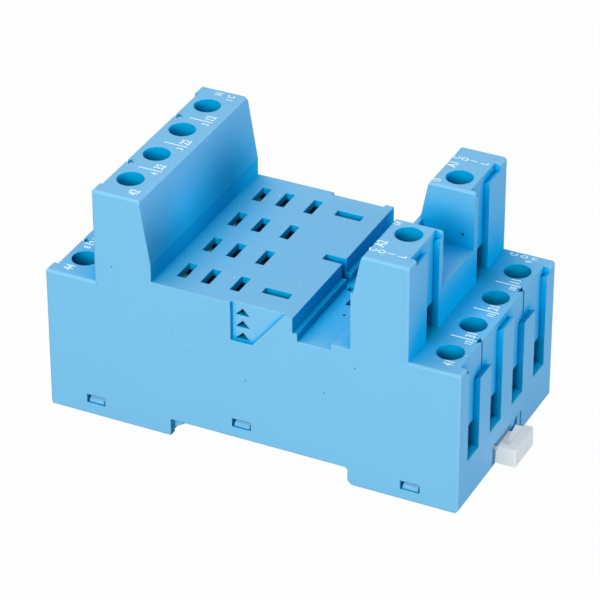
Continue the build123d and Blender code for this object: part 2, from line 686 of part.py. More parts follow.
def make_cover():
    """The base cover: a stepped plate with the rail seat, snap tabs, supports and the clip's tunnel."""
    near = OUTER_WALL + COVER_PLAY
    far = HOUSING_W - near
    left, right = OUTER_WALL + COVER_PLAY, HOUSING_L - OUTER_WALL - COVER_PLAY
    start, end, y0, y1 = tunnel_limits()
    hook_top = RAIL_SEAT - RAIL_FLANGE_GAP
    plate = [
        (left, FOOT_RECESS), (RAIL_START, FOOT_RECESS), (RAIL_START, hook_top - HOOK_T),
        (RAIL_START + HOOK_REACH, hook_top - 0.4), (RAIL_START + HOOK_REACH, hook_top),
        (RAIL_START, hook_top), (RAIL_START, RAIL_SEAT), (RAIL_END, RAIL_SEAT), (RAIL_END, FOOT_RECESS),
        (right, FOOT_RECESS), (right, COVER_TOP), (RAIL_END + COVER_T, COVER_TOP),
        (RAIL_END + COVER_T, SEAT_TOP), (RAIL_START - COVER_T, SEAT_TOP), (RAIL_START - COVER_T, COVER_TOP),
        (left, COVER_TOP),
    ]
    cover = prism_y(plate, near, far)
    door = CLIP_DOOR_Y
    wall = COVER_T
    exit_y1 = door + CLIP_DOOR_W
    cover = cover + [
        block(start, end + wall, y0 - wall, y1 + wall, FOOT_RECESS, SEAT_TOP),
        block(end, right, door - wall, exit_y1 + wall, FOOT_RECESS, SEAT_TOP),
    ]
    roof = RAIL_SEAT
    lane_y0 = CLIP_Y - CLIP_PLAY
    lane_y1 = CLIP_Y + CLIP_W + CLIP_PLAY
    cover = cover - [
        block(start - 1, end, y0, y1, -1, roof),
        block(end - 1, right + 1, lane_y0, lane_y1, -1, roof),
    ]
    lip_top = CLIP_BASE - 0.1
    lips = [block(end, right, y, y + LIP_W, lip_top - LIP_T, lip_top) for y in (lane_y0, lane_y1 - LIP_W)]
    lug_x = HOUSING_L - 0.1
    lug_top = CLIP_DOOR_TOP - 0.1
    lug = prism_x([(lane_y0 + 0.85, roof), (lane_y0 + 0.45, lug_top), (lane_y1 + 2.4, lug_top),
                   (lane_y1 + 1.6, roof)], right - 1, lug_x)
    key = block(right - 1, lug_x, exit_y1 - 1.7, exit_y1 - 0.45, FOOT_RECESS, lug_top)
    cover = cover + [*lips, lug, key]
    for x, rise in zip(SNAP_SETBACKS, SNAP_SILLS):
        tab = snap_tab(x, rise)
        cover = cover + [tab, mirrored(tab)]
    supports = []
    for x, top in ((PLATFORM_START - 4.0, STRIP_LEVEL), (PLATFORM_END + 2.0, STRIP_LEVEL)):
        floor = SEAT_TOP if RAIL_START < x < RAIL_END else COVER_TOP
        for y in COLUMNS:
            supports.append(block(x - POST_T / 2, x + POST_T / 2, y - POST_W / 2, y + POST_W / 2,
                                  floor - 0.5, top - POST_PLAY))
    rib_start = RAIL_END - 8.0
    rib_end = COIL_FACE - SCREW_SETBACK - CHAMBER_L / 2 - CAGE_PLAY
    for y in (PARTITIONS[0], PARTITIONS[-1]):
        supports.append(block(rib_start, rib_end, y - RIB_T / 2, y + RIB_T / 2, SEAT_TOP - 0.5,
                              COIL_BUS_LEVEL - POST_PLAY))
    return cover + supports


def make_clip():
    """The white rail clip: a sliding tongue with a nose, two spring arms and a head to pull it by."""
    y0, y1 = CLIP_Y, CLIP_Y + CLIP_W
    base, top = CLIP_BASE, CLIP_BASE + CLIP_T
    nose = RAIL_END - CLIP_NOSE
    end = HOUSING_L + CLIP_REACH
    hook_top = RAIL_SEAT - RAIL_FLANGE_GAP
    tongue = prism_y([(nose + 1.6, base), (end, base), (end, top), (RAIL_END + 1.5, top),
                      (RAIL_END + 0.6, hook_top), (nose, hook_top), (nose, hook_top - 0.4)], y0, y1)
    head_top = base + CLIP_HEAD_H
    neck = end - CLIP_HEAD_L
    head = block(neck, end, CLIP_HEAD_Y, CLIP_HEAD_Y + CLIP_HEAD_W, base, head_top)
    front = HOUSING_L + CLIP_CHEEK_START
    cheek = prism_y([(front, base), (end - 0.1, base), (end - 0.1, head_top), (front + CLIP_CHEEK_SLANT, head_top),
                     (front, head_top - CLIP_CHEEK_LOW)], CLIP_HEAD_Y, CLIP_HEAD_Y + CLIP_CHEEK_W)
    ramp_y = CLIP_HEAD_Y + CLIP_CHEEK_W
    ramp = prism_x([(ramp_y - 0.1, base), (ramp_y - 0.1, head_top - CLIP_RAMP_LOW), (y1 - CLIP_RAMP_FLAT, head_top),
                    (y1, head_top), (y1, base)], HOUSING_L + CLIP_RAMP_START, neck + 0.1)
    clip = tongue + [head, cheek, ramp]
    clip = chamfer(clip.edges().filter_by(Axis.Z).filter_by(lambda e: e.center().X > end - 0.05), 0.3)
    start, tunnel_end, ty0, ty1 = tunnel_limits()
    arm_x0 = start + CLIP_PLAY + 1.0
    arm_x1 = tunnel_end - CLIP_TRAVEL - CLIP_PLAY
    arms = []
    for side in (-1, 1):
        root = y0 if side < 0 else y1
        tip = (ty0 + 0.3) if side < 0 else (ty1 - 0.3)
        outer = [(arm_x0, root - side * 0.5), (arm_x0, root + side * 1.0), (arm_x0 + 3.0, tip),
                 (arm_x1, tip), (arm_x1, tip - side * CLIP_ARM_T),
                 (arm_x0 + 3.4, tip - side * CLIP_ARM_T), (arm_x0 + 1.6, root - side * 0.5)]
        arms.append(prism_z(outer, base, top - 0.3))
    return clip + arms


def finish(name, shape):
    """Check one piece and write it."""
    solids = shape.solids()
    if len(solids) != 1:
        print(f"{name}: {len(solids)} solids, {[round(s.volume, 3) for s in solids]}")
    piece = SHIFT * (solids[0] if len(solids) == 1 else Compound(children=list(solids)))
    piece.label = name
    export_step(piece, f"parts/{name}.step")


os.makedirs("parts", exist_ok=True)
TERMINALS = all_terminals()
finish("housing", make_housing(TERMINALS))
finish("base_cover", make_cover())
finish("rail_clip", make_clip())
for terminal in TERMINALS:
    finish(f"{terminal.name}_contact", make_strip(terminal))
    finish(f"{terminal.name}_cage", make_cage(terminal))
    finish(f"{terminal.name}_screw", make_screw(terminal))
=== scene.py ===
"""Looks of a relay socket for a mounting rail: moulded housing, screws, clamps, printed marks and studio.

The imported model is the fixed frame. Sizes are in metres and places are in the row's frame, unless a class says
that its offsets are in millimetres.
"""

from __future__ import annotations

import json
import logging
import math
from collections.abc import Callable
from dataclasses import dataclass, field
from enum import Enum
from typing import Any

import bpy
from bpy.types import ID, Material, Node, NodeSocket, NodeTree, Object
from mathutils import Matrix, Quaternion, Vector

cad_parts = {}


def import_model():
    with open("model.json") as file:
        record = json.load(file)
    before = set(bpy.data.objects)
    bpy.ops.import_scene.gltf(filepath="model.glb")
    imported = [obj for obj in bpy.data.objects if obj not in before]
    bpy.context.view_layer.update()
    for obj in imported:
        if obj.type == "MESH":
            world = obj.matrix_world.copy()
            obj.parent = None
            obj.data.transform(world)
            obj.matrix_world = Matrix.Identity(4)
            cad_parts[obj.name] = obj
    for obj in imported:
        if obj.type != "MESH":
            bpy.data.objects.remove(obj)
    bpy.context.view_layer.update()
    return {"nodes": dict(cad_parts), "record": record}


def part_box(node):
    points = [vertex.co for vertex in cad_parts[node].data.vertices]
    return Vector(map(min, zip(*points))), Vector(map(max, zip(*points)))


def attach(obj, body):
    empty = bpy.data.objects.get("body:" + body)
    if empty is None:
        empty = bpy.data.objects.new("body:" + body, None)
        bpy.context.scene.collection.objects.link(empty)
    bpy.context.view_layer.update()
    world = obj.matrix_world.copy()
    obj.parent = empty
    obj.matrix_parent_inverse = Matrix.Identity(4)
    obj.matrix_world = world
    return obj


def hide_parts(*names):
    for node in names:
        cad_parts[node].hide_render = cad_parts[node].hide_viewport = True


LOG = logging.getLogger("relay_socket")
SOCKET_BODY = "socket_body"
MM = 0.001
STEP_TOP = 29.0 * MM
CHANNEL_TOP = 27.5 * MM
NEARLY = 1e-6
MERGE_DISTANCE = 1e-7
SMOOTH_ANGLE = math.radians(30.0)

Triple = tuple[float, float, float]
Offset = tuple[float, float]
Value = NodeSocket | Triple | float
Inputs = dict[str | int, Value]
EdgeTest = Callable[[Vector, Vector], bool]


class Row(Enum):
    """The four groups of terminals, by the first word of their nodes."""

    NORMALLY_OPEN = "no"
    NORMALLY_CLOSED = "nc"
    COMMON = "com"
    COIL = "coil"


TERMINAL_COUNT = {Row.NORMALLY_OPEN: 4, Row.NORMALLY_CLOSED: 4, Row.COMMON: 4, Row.COIL: 2}


# ---- working with objects


def deselect_all() -> None:
    """Leave edit mode and select nothing."""
    if bpy.context.object is not None and bpy.context.object.mode != "OBJECT":
        bpy.ops.object.mode_set(mode="OBJECT")
    bpy.ops.object.select_all(action="DESELECT")


def pick(*objects: Object) -> None:
    """Select some objects alone and make the first one active.

    Args:
        objects: what to select.
    """
    deselect_all()
    for item in objects:
        item.select_set(True)
    bpy.context.view_layer.objects.active = objects[0]


def newest(name: str) -> Object:
    """Name the object that an operator has just added or made active.

    Args:
        name: its new name.

    Returns:
        The object.
    """
    item = bpy.context.object
    item.name = name
    item.data.name = name
    return item


def apply_place(item: Object) -> Object:
    """Put an object's place, turn and scale into its mesh.

    Args:
        item: the object.

    Returns:
        The same object, at the origin.
    """
    pick(item)
    bpy.ops.object.transform_apply(location=True, rotation=True, scale=True)
    return item


def finish_modifiers(item: Object) -> None:
    """Apply every modifier of an object, in order.

    Args:
        item: the object.
    """
    pick(item)
    for modifier in list(item.modifiers):
        bpy.ops.object.modifier_apply(modifier=modifier.name)


def add_box(name: str, low: Vector, high: Vector) -> Object:
    """A box between two corners, as the start of a piece or as a cutter.

    Args:
        name: the object's name.
        low: its lowest corner.
        high: its highest corner.

    Returns:
        The box, with its place in its mesh.
    """
    deselect_all()
    bpy.ops.mesh.primitive_cube_add(size=1.0, location=(low + high) / 2)
    item = newest(name)
    item.scale = high - low
    return apply_place(item)


def add_rod(name: str, radius: float, low: Vector, length: float, sides: int) -> Object:
    """An upright cylinder, as the start of a piece or as a cutter.

    Args:
        name: the object's name.
        radius: its radius.
        low: the middle of its lower end.
        length: its length.
        sides: how many flats make its wall.

    Returns:
        The cylinder, with its place in its mesh.
    """
    deselect_all()
    bpy.ops.mesh.primitive_cylinder_add(
        vertices=sides, radius=radius, depth=length, location=low + Vector((0, 0, length / 2)))
    return apply_place(newest(name))


def bevel_edges(item: Object, wanted: EdgeTest, width: float, segments: int) -> None:
    """Round the edges of an object that pass a test.

    Args:
        item: the object.
        wanted: the test, which is given an edge's two ends.
        width: how far the rounding reaches.
        segments: how many flats it has.
    """
    pick(item)
    bpy.ops.object.mode_set(mode="EDIT")
    bpy.ops.mesh.select_mode(type="EDGE")
    bpy.ops.mesh.select_all(action="DESELECT")
    bpy.ops.object.mode_set(mode="OBJECT")
    for edge in item.data.edges:
        edge.select = wanted(*(item.data.vertices[i].co for i in edge.vertices))
    bpy.ops.object.mode_set(mode="EDIT")
    bpy.ops.mesh.bevel(offset=width, segments=segments, affect="EDGES")
    bpy.ops.object.mode_set(mode="OBJECT")


def cut(item: Object, cutters: list[Object]) -> None:
    """Take some solids away from an object and delete them.

    Args:
        item: what is cut.
        cutters: what it is cut with.
    """
    for cutter in cutters:
        modifier = item.modifiers.new("cut", "BOOLEAN")
        modifier.operation = "DIFFERENCE"
        modifier.solver = "EXACT"
        modifier.object = cutter
        finish_modifiers(item)
        bpy.data.objects.remove(cutter, do_unlink=True)


def join(items: list[Object], name: str) -> Object:
    """Make several objects one.

    Args:
        items: the objects.
        name: the name of the result.

    Returns:
        The joined object.
    """
    pick(*items)
    bpy.ops.object.join()
    return newest(name)


def smooth(item: Object) -> None:
    """Shade an object smoothly, apart from its sharper edges."""
    pick(item)
    bpy.ops.object.shade_smooth_by_angle(angle=SMOOTH_ANGLE)


def copy_at(pattern: Object, name: str, place: Vector) -> Object:
    """A copy of a piece with its own mesh, moved inside its mesh.

    Args:
        pattern: the piece to copy, modelled round the origin.
        name: the copy's name.
        place: how far it is moved.

    Returns:
        The copy, whose object is at the origin.
    """
    item = bpy.data.objects.new(name, pattern.data.copy())
    item.data.name = name
    item.data.transform(Matrix.Translation(place))
    bpy.context.collection.objects.link(item)
    return item


# ---- shader nodes

MIX_FIRST, MIX_SECOND, MIX_RESULT = 6, 7, 2


def feed(tree: NodeTree, node: Node, inputs: Inputs) -> Node:
    """Give some inputs of a node constants or the values of other sockets.

    Args:
        tree: the node tree.
        node: the node.
        inputs: by name or number, a socket, a number, or three numbers for a vector or a colour.

    Returns:
        The same node.
    """
    for key, value in inputs.items():
        target = node.inputs[key]
        if isinstance(value, NodeSocket):
            tree.links.new(value, target)
        else:
            target.default_value = (*value, 1.0) if target.type == "RGBA" else value
    return node


def add_node(tree: NodeTree, kind: str, inputs: Inputs | None = None) -> Node:
    """A new shader node.

    Args:
        tree: the node tree.
        kind: its type, without the words that every type starts with.
        inputs: what it is fed with.

    Returns:
        The node.
    """
    return feed(tree, tree.nodes.new(f"ShaderNode{kind}"), inputs or {})


def math_node(tree: NodeTree, operation: str, first: Value, second: Value) -> NodeSocket:
    """One sum in a node tree.

    Args:
        tree: the tree.
        operation: what is done.
        first: a socket or a number.
        second: a socket or a number.

    Returns:
        The socket with the result.
    """
    node = add_node(tree, "Math", {0: first, 1: second})
    node.operation = operation
    return node.outputs[0]


def dot_product(tree: NodeTree, first: Value, second: Value) -> NodeSocket:
    """How far two directions agree.

    Args:
        tree: the node tree.
        first: a socket or a vector.
        second: a socket or a vector.

    Returns:
        The socket with the result.
    """
    node = add_node(tree, "VectorMath", {0: first, 1: second})
    node.operation = "DOT_PRODUCT"
    return node.outputs["Value"]


def eased(tree: NodeTree, value: NodeSocket, low: float, high: float) -> NodeSocket:
    """A value brought smoothly from 0 at one level to 1 at another.

    Args:
        tree: the node tree.
        value: the socket with the value.
        low: the level that becomes 0.
        high: the level that becomes 1.

    Returns:
        The socket with the result.
    """
    node = add_node(tree, "MapRange", {"Value": value, "From Min": low, "From Max": high})
    node.interpolation_type = "SMOOTHSTEP"
    return node.outputs["Result"]


def object_place(tree: NodeTree) -> NodeSocket:
    """The socket with the place in the object's own coordinates."""
    return add_node(tree, "TexCoord").outputs["Object"]


def noise(tree: NodeTree, place: NodeSocket, scale: Value, detail: float) -> NodeSocket:
    """A cloudy noise.

    Args:
        tree: the node tree.
        place: the socket with the coordinates.
        scale: how fine it is, as a socket or a number.
        detail: how many finer layers it has.

    Returns:
        The socket with its value, from 0 to 1.
    """
    return add_node(tree, "TexNoise", {"Vector": place, "Scale": scale, "Detail": detail}).outputs["Fac"]


def mix_colours(tree: NodeTree, mask: NodeSocket, first: Value, second: Value) -> NodeSocket:
    """A mix of two colours by a mask.

    Args:
        tree: the node tree.
        mask: the socket with the mask.
        first: the socket or the colour where the mask is 0.
        second: the socket or the colour where the mask is 1.

    Returns:
        The socket with the colour.
    """
    node = add_node(tree, "Mix", {"Factor": mask, MIX_FIRST: first, MIX_SECOND: second})
    node.data_type = "RGBA"
    return node.outputs[MIX_RESULT]


def mix_shaders(tree: NodeTree, share: NodeSocket, first: Node, second: Node, end: Node) -> None:
    """Mix two shaders into the surface of a material or a world.

    Args:
        tree: the node tree.
        share: the socket with the second one's share.
        first: the shader where the share is 0.
        second: the shader where the share is 1.
        end: the output node.
    """
    mix = add_node(tree, "MixShader", {0: share, 1: first.outputs[0], 2: second.outputs[0]})
    feed(tree, end, {"Surface": mix.outputs[0]})


def start_material(name: str) -> tuple[Material, NodeTree, Node]:
    """A new material.

    Args:
        name: its name.

    Returns:
        The material, its node tree and its main shader.
    """
    material = bpy.data.materials.new(name)
    material.use_nodes = True
    tree = material.node_tree
    return material, tree, tree.nodes["Principled BSDF"]


def add_bump(tree: NodeTree, shader: Node, height: NodeSocket, strength: float, distance: float) -> Node:
    """Let a height shape a shader's normal.

    Args:
        tree: the node tree.
        shader: the shader.
        height: the socket with the height, from 0 to 1.
        strength: how strongly it counts.
        distance: the height of 1 in metres.

    Returns:
        The bump node, which also takes a normal.
    """
    bump = add_node(tree, "Bump", {"Strength": strength, "Distance": distance, "Height": height})
    feed(tree, shader, {"Normal": bump.outputs["Normal"]})
    return bump


def vary_roughness(tree: NodeTree, shader: Node, mask: NodeSocket, least: float, spread: float) -> None:
    """Let a mask raise a shader's roughness.

    Args:
        tree: the node tree.
        shader: the shader.
        mask: the socket with the mask.
        least: the roughness where the mask is 0.
        spread: how much is added where it is 1.
    """
    added = math_node(tree, "MULTIPLY", mask, spread)
    feed(tree, shader, {"Roughness": math_node(tree, "ADD", added, least)})


# ---- shader groups

GRAIN_DETAIL = 2.0
WAVE_SCALE = 110.0
WAVE_DETAIL = 1.0
PLATING_DETAIL = 3.0
DARK_SPECK_LEVEL = 0.82
# Samples and levels of the painted shade that darkens hollows and holes.
PAINTED_SHADE_SAMPLES = 8
UNSHADED_LEVELS = (0.56, 0.85)
DEEP_SHADE_LEVELS = (0.0, 0.32)
EDGE_SAMPLES = 6
# The way towards the front lamp: edges turned this way get a painted highlight.
PAINTED_HIGHLIGHT_WAY = (0.1, -0.76, 0.64)
PAINTED_HIGHLIGHT_LEVELS = (0.5, 0.92)
NUMBER, VECTOR = "NodeSocketFloat", "NodeSocketVector"


def new_group(name: str, inputs: dict[str, float], outputs: dict[str, str]) -> tuple[NodeTree, Node, Node]:
    """An empty shader group with named sockets.

    Args:
        name: the group's name.
        inputs: the number sockets that it takes, with their defaults.
        outputs: the sockets that it gives, with their types.

    Returns:
        The group, the node with its inputs and the node with its outputs.
    """
    tree = bpy.data.node_groups.new(name, "ShaderNodeTree")
    for label, value in inputs.items():
        socket = tree.interface.new_socket(label, in_out="INPUT", socket_type=NUMBER)
        socket.default_value = value
    for label, kind in outputs.items():
        tree.interface.new_socket(label, in_out="OUTPUT", socket_type=kind)
    return tree, tree.nodes.new("NodeGroupInput"), tree.nodes.new("NodeGroupOutput")


def group_node(tree: NodeTree, group: NodeTree, inputs: Inputs | None = None) -> Node:
    """A shared group placed in a tree.

    Args:
        tree: the node tree.
        group: the shared group.
        inputs: the inputs that differ from its defaults.

    Returns:
        The group's node.
    """
    node = tree.nodes.new("ShaderNodeGroup")
    node.node_tree = group
    return feed(tree, node, inputs or {})


def build_grain_group() -> NodeTree:
    """The fine satin grain that a spark-eroded mould leaves, as a height from 0 to 1.

    Returns:
        The group.
    """
    tree, entry, end = new_group("moulded_grain", {"Scale": 2600.0, "Waviness": 0.25}, {"Height": NUMBER})
    fine = noise(tree, object_place(tree), entry.outputs["Scale"], GRAIN_DETAIL)
    broad = noise(tree, object_place(tree), WAVE_SCALE, WAVE_DETAIL)
    wave = math_node(tree, "MULTIPLY", broad, entry.outputs["Waviness"])
    feed(tree, end, {"Height": math_node(tree, "ADD", fine, wave)})
    return tree


def build_speck_group() -> NodeTree:
    """Rare round specks of dust and lint, as one mask of the light ones and one of the dark ones.

    Returns:
        The group.
    """
    tree, entry, end = new_group("specks", {"Scale": 330.0, "Radius": 0.05, "Share": 0.28},
                                 {"Light": NUMBER, "Dark": NUMBER})
    cells = add_node(tree, "TexVoronoi", {"Vector": object_place(tree), "Scale": entry.outputs["Scale"]})
    near = math_node(tree, "LESS_THAN", cells.outputs["Distance"], entry.outputs["Radius"])
    draw = add_node(tree, "SeparateColor", {"Color": cells.outputs["Color"]})
    chosen = math_node(tree, "LESS_THAN", draw.outputs["Red"], entry.outputs["Share"])
    speck = math_node(tree, "MULTIPLY", near, chosen)
    dark = math_node(tree, "GREATER_THAN", draw.outputs["Green"], DARK_SPECK_LEVEL)
    pale = math_node(tree, "SUBTRACT", 1.0, dark)
    feed(tree, end, {"Light": math_node(tree, "MULTIPLY", speck, pale),
                     "Dark": math_node(tree, "MULTIPLY", speck, dark)})
    return tree


def build_plating_group() -> NodeTree:
    """The cloudy, faintly scratched face of plated metal, as a mask from 0 to 1.

    Returns:
        The group.
    """
    tree, entry, end = new_group("plating", {"Scale": 900.0, "Stretch": 8.0}, {"Cloud": NUMBER})
    parts = add_node(tree, "SeparateXYZ", {"Vector": object_place(tree)}).outputs
    upward = math_node(tree, "MULTIPLY", parts["Z"], entry.outputs["Stretch"])
    drawn = add_node(tree, "CombineXYZ", {"X": parts["X"], "Y": parts["Y"], "Z": upward})
    cloud = noise(tree, drawn.outputs["Vector"], entry.outputs["Scale"], PLATING_DETAIL)
    feed(tree, end, {"Cloud": cloud})
    return tree


def build_painted_shade_group() -> NodeTree:
    """Masks for painted shade: how far a place lies open to its own piece, less so where it faces right, away
    from the lamps, and how deep in a hole it is, from 0 to 1.

    Returns:
        The group.
    """
    tree, entry, end = new_group("painted_recess_shade", {"Reach": 0.024, "Right shade": 0.18},
                                 {"Unshaded": NUMBER, "Deep_shade": NUMBER})
    around = add_node(tree, "AmbientOcclusion", {"Distance": entry.outputs["Reach"]})
    around.samples = PAINTED_SHADE_SAMPLES
    around.only_local = True
    free = around.outputs["AO"]
    ways = add_node(tree, "SeparateXYZ", {"Vector": add_node(tree, "NewGeometry").outputs["Normal"]})
    # Faces turned to the right, away from the lamps, get more painted shade.
    rightward = math_node(tree, "MAXIMUM", ways.outputs["X"], 0.0)
    painted_right_shade = math_node(tree, "MULTIPLY", rightward, entry.outputs["Right shade"])
    left = math_node(tree, "SUBTRACT", free, painted_right_shade)
    shallow = eased(tree, free, *DEEP_SHADE_LEVELS)
    feed(tree, end, {"Unshaded": eased(tree, left, *UNSHADED_LEVELS),
                     "Deep_shade": math_node(tree, "SUBTRACT", 1.0, shallow)})
    return tree


def build_edge_highlight_group() -> NodeTree:
    """The softened normal at the edges of a piece, and a mask of the edges that face front and up, towards the
    front lamp, where a highlight is painted.

    Returns:
        The group.
    """
    tree, entry, end = new_group("soft_edges_painted_highlight", {"Radius": 0.0002, "Gain": 5.0},
                                 {"Mask": NUMBER, "Normal": VECTOR})
    bevel = add_node(tree, "Bevel", {"Radius": entry.outputs["Radius"]})
    bevel.samples = EDGE_SAMPLES
    soft = bevel.outputs["Normal"]
    plain = add_node(tree, "NewGeometry").outputs["Normal"]
    turned = math_node(tree, "SUBTRACT", 1.0, dot_product(tree, soft, plain))
    strong = math_node(tree, "MULTIPLY", turned, entry.outputs["Gain"])
    facing_lamp = eased(tree, dot_product(tree, soft, PAINTED_HIGHLIGHT_WAY), *PAINTED_HIGHLIGHT_LEVELS)
    mask = math_node(tree, "MULTIPLY", math_node(tree, "MINIMUM", strong, 1.0), facing_lamp)
    feed(tree, end, {"Mask": mask, "Normal": soft})
    return tree


@dataclass
class ShaderGroups:
    """The shader groups that the finishes share, each built once."""

    painted_recess_shade: NodeTree = field(default_factory=build_painted_shade_group)
    edges: NodeTree = field(default_factory=build_edge_highlight_group)
    grain: NodeTree = field(default_factory=build_grain_group)
    specks: NodeTree = field(default_factory=build_speck_group)
    plating: NodeTree = field(default_factory=build_plating_group)


# ---- finishes


@dataclass(frozen=True)
class MouldedPlastic:
    """A satin moulded plastic, with a fine grain, soft shifts of tone and a few specks, and with painted shade
    in its hollows, a painted highlight on its front edges and, where set, a painted glow.
    """

    name: str
    colour: Triple
    shade: Triple
    # recess and depth are painted shade colours, for hollows and for deep holes.
    recess: Triple
    depth: Triple
    # edge is a painted highlight colour, for edges that face the front lamp.
    edge: Triple
    speck_light: Triple
    speck_dark: Triple
    roughness: float
    ior: float
    specular: float
    grain_depth: float
    edge_radius: float
    edge_highlight_share: float
    # glow is painted light: the colour's own glow, standing in for light that passes through thin parts.
    glow: float
    tone_scale: float = 38.0
    tone_detail: float = 2.0
    grain_strength: float = 1.0
    grain_roughness: float = 0.08

    def build(self, groups: ShaderGroups) -> Material:
        """Make the material.

        Args:
            groups: the shared shader groups.

        Returns:
            The material.
        """
        material, tree, shader = start_material(self.name)
        painted_recess_shade = group_node(tree, groups.painted_recess_shade)
        edges = group_node(tree, groups.edges, {"Radius": self.edge_radius})
        specks = group_node(tree, groups.specks)
        height = group_node(tree, groups.grain).outputs["Height"]
        unshaded_share = painted_recess_shade.outputs["Unshaded"]
        # Painted highlight on the edges that face the front lamp, kept out of hollows.
        painted_highlight = math_node(tree, "MULTIPLY", edges.outputs["Mask"], unshaded_share)
        cloud = noise(tree, object_place(tree), self.tone_scale, self.tone_detail)
        tone = mix_colours(tree, cloud, self.shade, self.colour)
        # Painted shade: the recess colour where the piece hems itself in, and the depth colour deep in its
        # holes.
        tone = mix_colours(tree, unshaded_share, self.recess, tone)
        tone = mix_colours(tree, painted_recess_shade.outputs["Deep_shade"], tone, self.depth)
        tone = mix_colours(tree, math_node(tree, "MULTIPLY", painted_highlight, self.edge_highlight_share), tone, self.edge)
        tone = mix_colours(tree, specks.outputs["Light"], tone, self.speck_light)
        tone = mix_colours(tree, specks.outputs["Dark"], tone, self.speck_dark)
        # The emission is painted light, standing in for light through thin translucent parts.
        feed(tree, shader, {"Base Color": tone, "Emission Color": tone, "Emission Strength": self.glow,
                            "IOR": self.ior, "Specular IOR Level": self.specular})
        bump = add_bump(tree, shader, height, self.grain_strength, self.grain_depth)
        feed(tree, bump, {"Normal": edges.outputs["Normal"]})
        vary_roughness(tree, shader, height, self.roughness, self.grain_roughness)
        return material


@dataclass(frozen=True)
class PlatedMetal:
    """A plated metal with cloudy gloss and fine marks."""

    name: str
    colour: Triple
    dull: Triple
    roughness: float
    scale: float
    stretch: float
    cloud_roughness: float = 0.25
    bump_strength: float = 0.6
    bump_depth: float = 0.00001

    def build(self, groups: ShaderGroups) -> Material:
        """Make the material.

        Args:
            groups: the shared shader groups.

        Returns:
            The material.
        """
        material, tree, shader = start_material(self.name)
        plating = group_node(tree, groups.plating, {"Scale": self.scale, "Stretch": self.stretch})
        cloud = plating.outputs["Cloud"]
        tone = mix_colours(tree, cloud, self.dull, self.colour)
        feed(tree, shader, {"Base Color": tone, "Metallic": 1.0})
        add_bump(tree, shader, cloud, self.bump_strength, self.bump_depth)
        vary_roughness(tree, shader, cloud, self.roughness, self.cloud_roughness)
        return material


@dataclass(frozen=True)
class PrintedInk:
    """A thin pad-printed ink that is a little uneven."""

    name: str
    colour: Triple
    thin: Triple
    grain_scale: float = 5200.0
    waviness: float = 0.4
    roughness: float = 0.5
    grain_roughness: float = 0.2
    bump_strength: float = 0.5
    bump_depth: float = 0.000006

    def build(self, groups: ShaderGroups) -> Material:
        """Make the material.

        Args:
            groups: the shared shader groups.

        Returns:
            The material.
        """
        material, tree, shader = start_material(self.name)
        grain = group_node(tree, groups.grain, {"Scale": self.grain_scale, "Waviness": self.waviness})
        height = grain.outputs["Height"]
        feed(tree, shader, {"Base Color": mix_colours(tree, height, self.thin, self.colour)})
        add_bump(tree, shader, height, self.bump_strength, self.bump_depth)
        vary_roughness(tree, shader, height, self.roughness, self.grain_roughness)
        return material


Finish = MouldedPlastic | PlatedMetal | PrintedInk

# In these finishes the recess and depth colours are painted shade and the edge colour is a painted highlight.
BLUE = MouldedPlastic(
    name="blue_moulding", colour=(0.235, 0.535, 0.80), shade=(0.225, 0.515, 0.78), recess=(0.0, 0.405, 0.77),
    depth=(0.0, 0.085, 0.23), edge=(0.42, 0.74, 0.93), speck_light=(0.70, 0.86, 0.96),
    speck_dark=(0.01, 0.15, 0.35), roughness=0.38, ior=1.47, specular=0.15, grain_depth=0.000012,
    edge_radius=0.0003, edge_highlight_share=0.6, glow=0.0)
# The white clip's glow is painted light through its thin walls.
WHITE = MouldedPlastic(
    name="white_moulding", colour=(0.60, 0.57, 0.56), shade=(0.57, 0.54, 0.53), recess=(0.40, 0.41, 0.43),
    depth=(0.2, 0.22, 0.26), edge=(0.68, 0.67, 0.66), speck_light=(0.7, 0.7, 0.7),
    speck_dark=(0.35, 0.35, 0.36), roughness=0.4, ior=1.5, specular=0.5, grain_depth=0.000008,
    edge_radius=0.00015, edge_highlight_share=0.5, glow=0.42)
GATE = MouldedPlastic(
    name="gate_mark", colour=(0.015, 0.09, 0.22), shade=(0.01, 0.07, 0.18), recess=(0.01, 0.06, 0.16),
    depth=(0.0, 0.03, 0.1), edge=(0.03, 0.12, 0.28), speck_light=(0.03, 0.1, 0.2),
    speck_dark=(0.01, 0.03, 0.1), roughness=0.6, ior=1.45, specular=0.2, grain_depth=0.00001,
    edge_radius=0.00005, edge_highlight_share=0.2, glow=0.0)
CONTACT = PlatedMetal(name="contact_strip", colour=(0.80, 0.68, 0.43), dull=(0.66, 0.56, 0.38),
                      roughness=0.22, scale=700.0, stretch=1.0)
CLAMP = PlatedMetal(name="clamp_steel", colour=(0.42, 0.43, 0.45), dull=(0.30, 0.31, 0.33),
                    roughness=0.34, scale=1000.0, stretch=6.0)
SCREW = PlatedMetal(name="screw_steel", colour=(0.78, 0.78, 0.76), dull=(0.62, 0.62, 0.6),
                    roughness=0.2, scale=1500.0, stretch=1.0)
INK = PrintedInk(name="white_ink", colour=(0.92, 0.97, 1.0), thin=(0.76, 0.90, 0.97))


@dataclass
class Finishes:
    """Every material of the socket, built once."""

    groups: ShaderGroups = field(default_factory=ShaderGroups)
    made: dict[str, Material] = field(default_factory=dict)

    def of(self, finish: Finish) -> Material:
        """The material of a finish, made when it is first asked for.

        Args:
            finish: the finish.

        Returns:
            Its material.
        """
        if finish.name not in self.made:
            self.made[finish.name] = finish.build(self.groups)
        return self.made[finish.name]

    def dress(self, item: Object, finish: Finish) -> None:
        """Give a finish to an object, in all its slots."""
        item.data.materials.clear()
        item.data.materials.append(self.of(finish))


# ---- terminals


